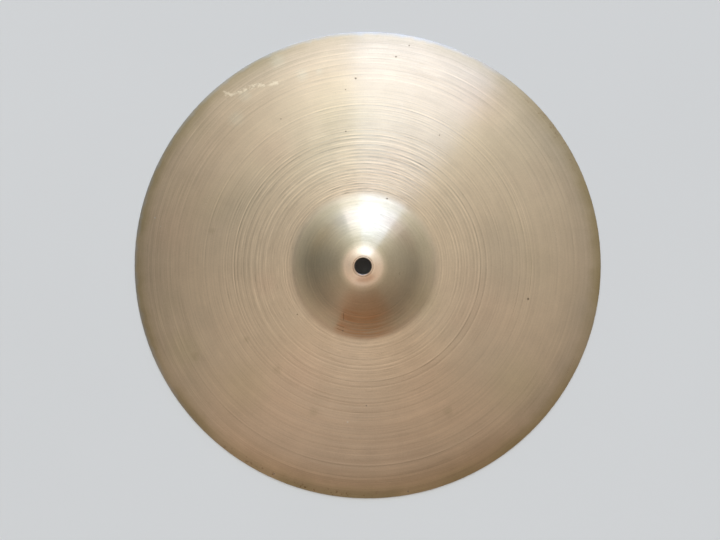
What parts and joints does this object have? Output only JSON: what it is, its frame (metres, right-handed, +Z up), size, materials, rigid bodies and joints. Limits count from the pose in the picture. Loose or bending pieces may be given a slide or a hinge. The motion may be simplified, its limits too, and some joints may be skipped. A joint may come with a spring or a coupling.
{
  "type": "cymbal",
  "caption": "Shallow lathe-turned bronze cymbal with a raised bell and a plain centre hole, held by a strap or on a stand and clashed or struck.",
  "frame": {"origin": "centre of the circle that the rim stands on", "axes": "+Z up along the cymbal's axis, from its open side to the crown of the bell; X and Y are any two directions at right angles in the rim's plane"},
  "size_m": [0.3556, 0.3556, 0.0354],
  "materials": {
    "bell_bronze": "lathe-turned, satin, with an aged patina"
  },
  "bodies": {
    "root": {"cymbal": "bell_bronze"}
  },
  "joints": []
}
